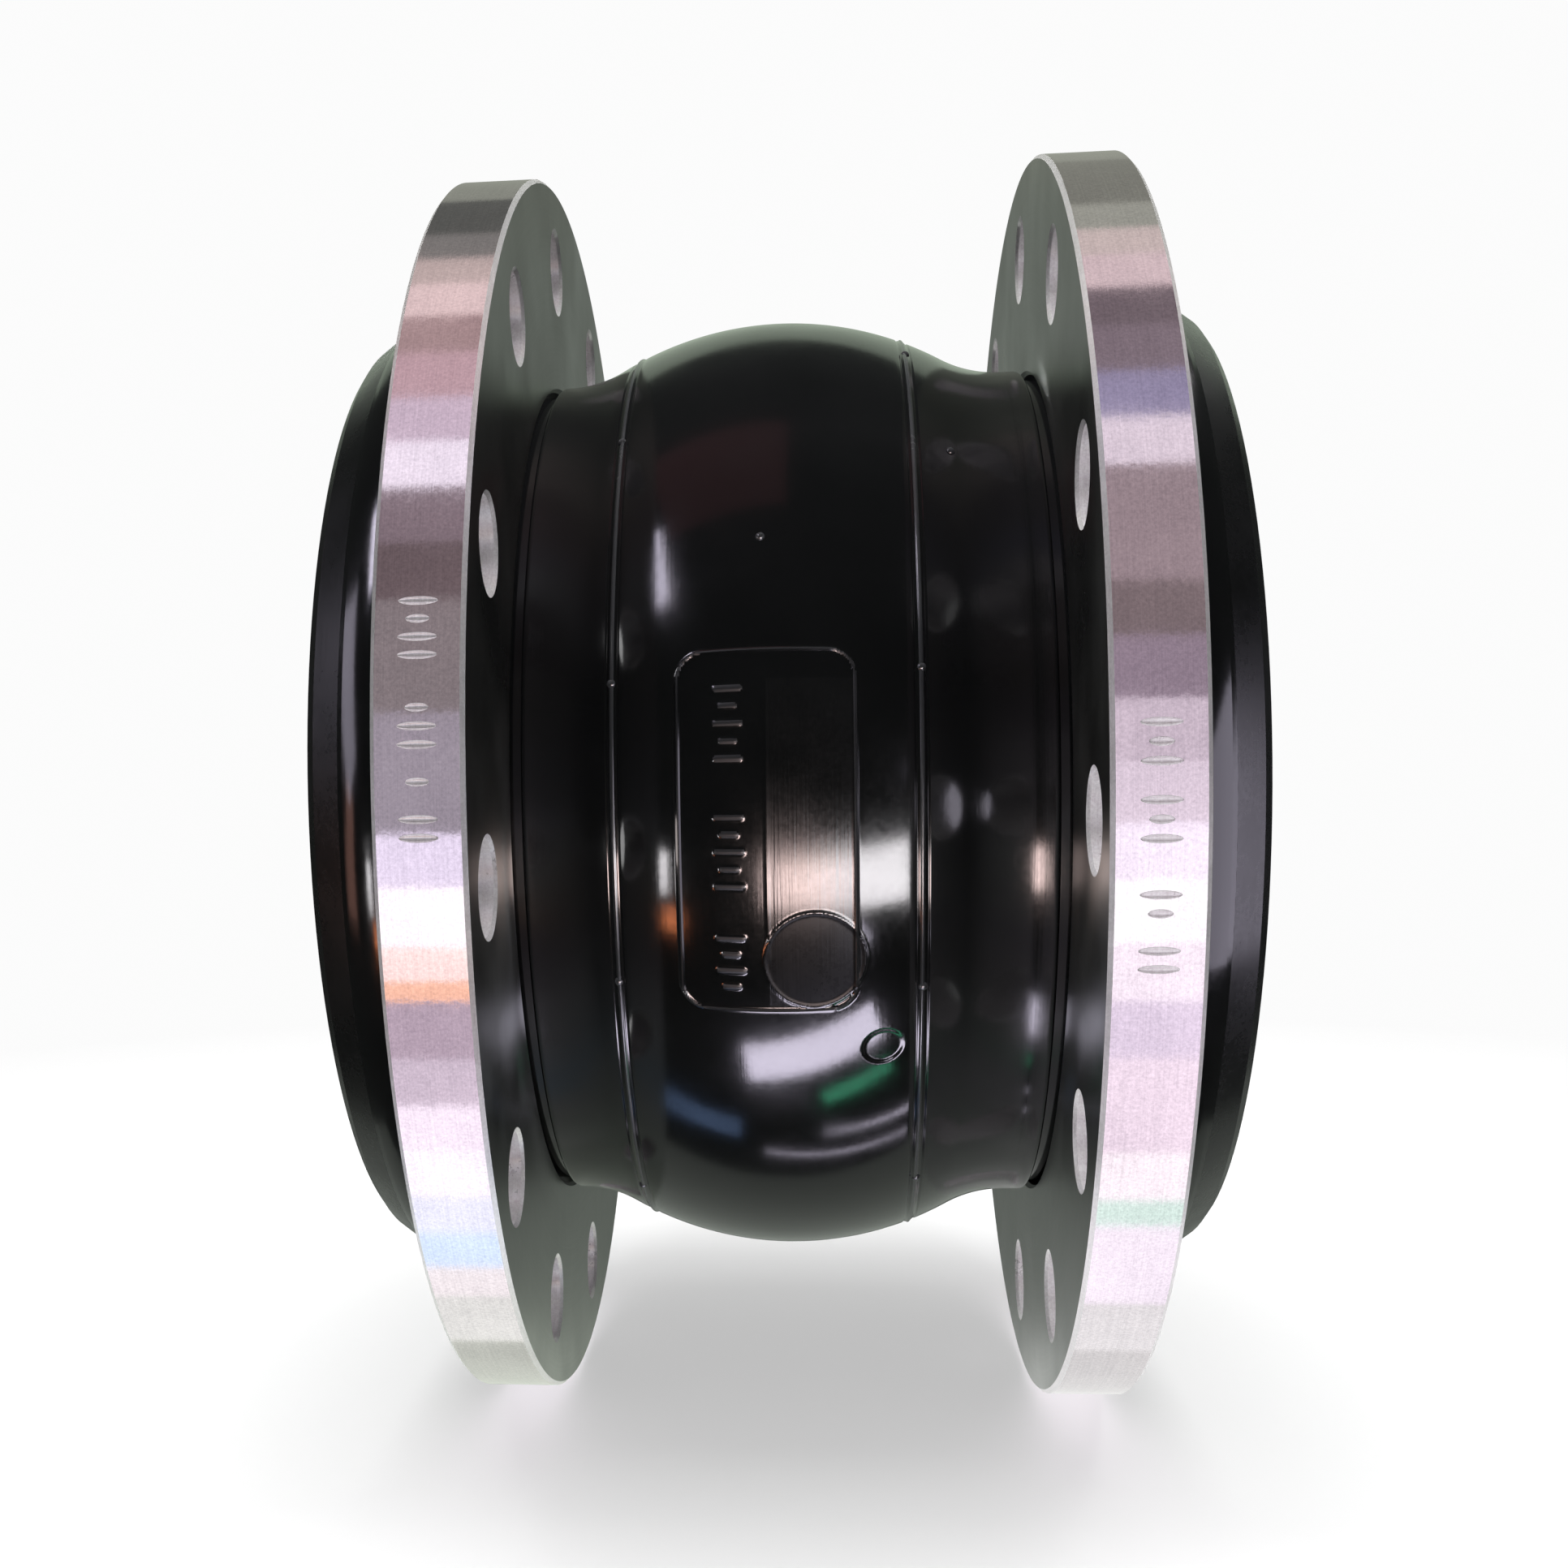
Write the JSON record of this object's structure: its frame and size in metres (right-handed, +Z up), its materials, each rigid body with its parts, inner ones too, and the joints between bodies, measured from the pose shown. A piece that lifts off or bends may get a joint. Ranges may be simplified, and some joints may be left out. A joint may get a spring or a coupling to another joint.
{
  "type": "rubber expansion joint",
  "caption": "Single-arch moulded rubber expansion joint for a pipeline, with a loose drilled steel flange on each end that turns on the rubber bead.",
  "frame": {"origin": "middle of the joint, on the pipe axis", "axes": "+X along the pipe axis towards the right flange, +Z up with the joint lying on its flange rims"},
  "size_m": [0.217, 0.34, 0.34],
  "materials": {
    "flange_steel": "turned, bright zinc plated",
    "cover_rubber": "glossy moulded black rubber",
    "liner_rubber": "satin black rubber",
    "middle_rubber": "matt black rubber",
    "filler_rubber": "matt black rubber",
    "ply_cord": "rubberised nylon tyre cord",
    "hoop_wrap": "rubberised wrap fabric",
    "hoop_wire": "coated steel wire"
  },
  "bodies": {
    "flange_left": {"flange_left": "flange_steel"},
    "end_left": {"bead_filler_left": "filler_rubber", "bead_hoop_left": "hoop_wire", "bead_wrap_left": "hoop_wrap", "cord_ply_1_end_left": "ply_cord", "cord_ply_2_end_left": "ply_cord", "cord_ply_3_end_left": "ply_cord", "cord_ply_4_end_left": "ply_cord", "inner_liner_end_left": "liner_rubber", "middle_rubber_end_left": "middle_rubber", "outer_cover_end_left": "cover_rubber"},
    "arch_left": {"cord_ply_1_arch_left": "ply_cord", "cord_ply_2_arch_left": "ply_cord", "cord_ply_3_arch_left": "ply_cord", "cord_ply_4_arch_left": "ply_cord", "inner_liner_arch_left": "liner_rubber", "middle_rubber_arch_left": "middle_rubber", "outer_cover_arch_left": "cover_rubber"},
    "arch_right": {"cord_ply_1_arch_right": "ply_cord", "cord_ply_2_arch_right": "ply_cord", "cord_ply_3_arch_right": "ply_cord", "cord_ply_4_arch_right": "ply_cord", "inner_liner_arch_right": "liner_rubber", "middle_rubber_arch_right": "middle_rubber", "outer_cover_arch_right": "cover_rubber"},
    "end_right": {"bead_filler_right": "filler_rubber", "bead_hoop_right": "hoop_wire", "bead_wrap_right": "hoop_wrap", "cord_ply_1_end_right": "ply_cord", "cord_ply_2_end_right": "ply_cord", "cord_ply_3_end_right": "ply_cord", "cord_ply_4_end_right": "ply_cord", "inner_liner_end_right": "liner_rubber", "middle_rubber_end_right": "middle_rubber", "outer_cover_end_right": "cover_rubber"},
    "flange_right": {"flange_right": "flange_steel"}
  },
  "joints": [
    {"name": "left_flange_swivel", "type": "hinge", "parent": "flange_left", "child": "end_left", "pos_m": [-0.084, 0, 0], "axis": [1, 0, 0], "continuous": true},
    {"name": "left_bend", "type": "hinge", "parent": "end_left", "child": "arch_left", "pos_m": [-0.084, 0, 0], "axis": [0, 0, 1], "range_deg": [-7.5, 7.5], "stiffness_Nm_per_rad": 570, "deforming": ["cord_ply_1_arch_left", "cord_ply_2_arch_left", "cord_ply_3_arch_left", "cord_ply_4_arch_left", "inner_liner_arch_left", "middle_rubber_arch_left", "outer_cover_arch_left"]},
    {"name": "axial_stroke", "type": "slide", "parent": "arch_left", "child": "arch_right", "axis": [1, 0, 0], "range_m": [-0.025, 0.018], "stiffness_N_per_m": 70000, "deforming": ["cord_ply_1_arch_right", "cord_ply_2_arch_right", "cord_ply_3_arch_right", "cord_ply_4_arch_right", "inner_liner_arch_right", "middle_rubber_arch_right", "outer_cover_arch_right"]},
    {"name": "right_bend", "type": "hinge", "parent": "arch_right", "child": "end_right", "pos_m": [0.084, 0, 0], "axis": [0, 0, 1], "range_deg": [-7.5, 7.5], "stiffness_Nm_per_rad": 570},
    {"name": "right_flange_swivel", "type": "hinge", "parent": "end_right", "child": "flange_right", "pos_m": [0.084, 0, 0], "axis": [1, 0, 0], "continuous": true}
  ]
}
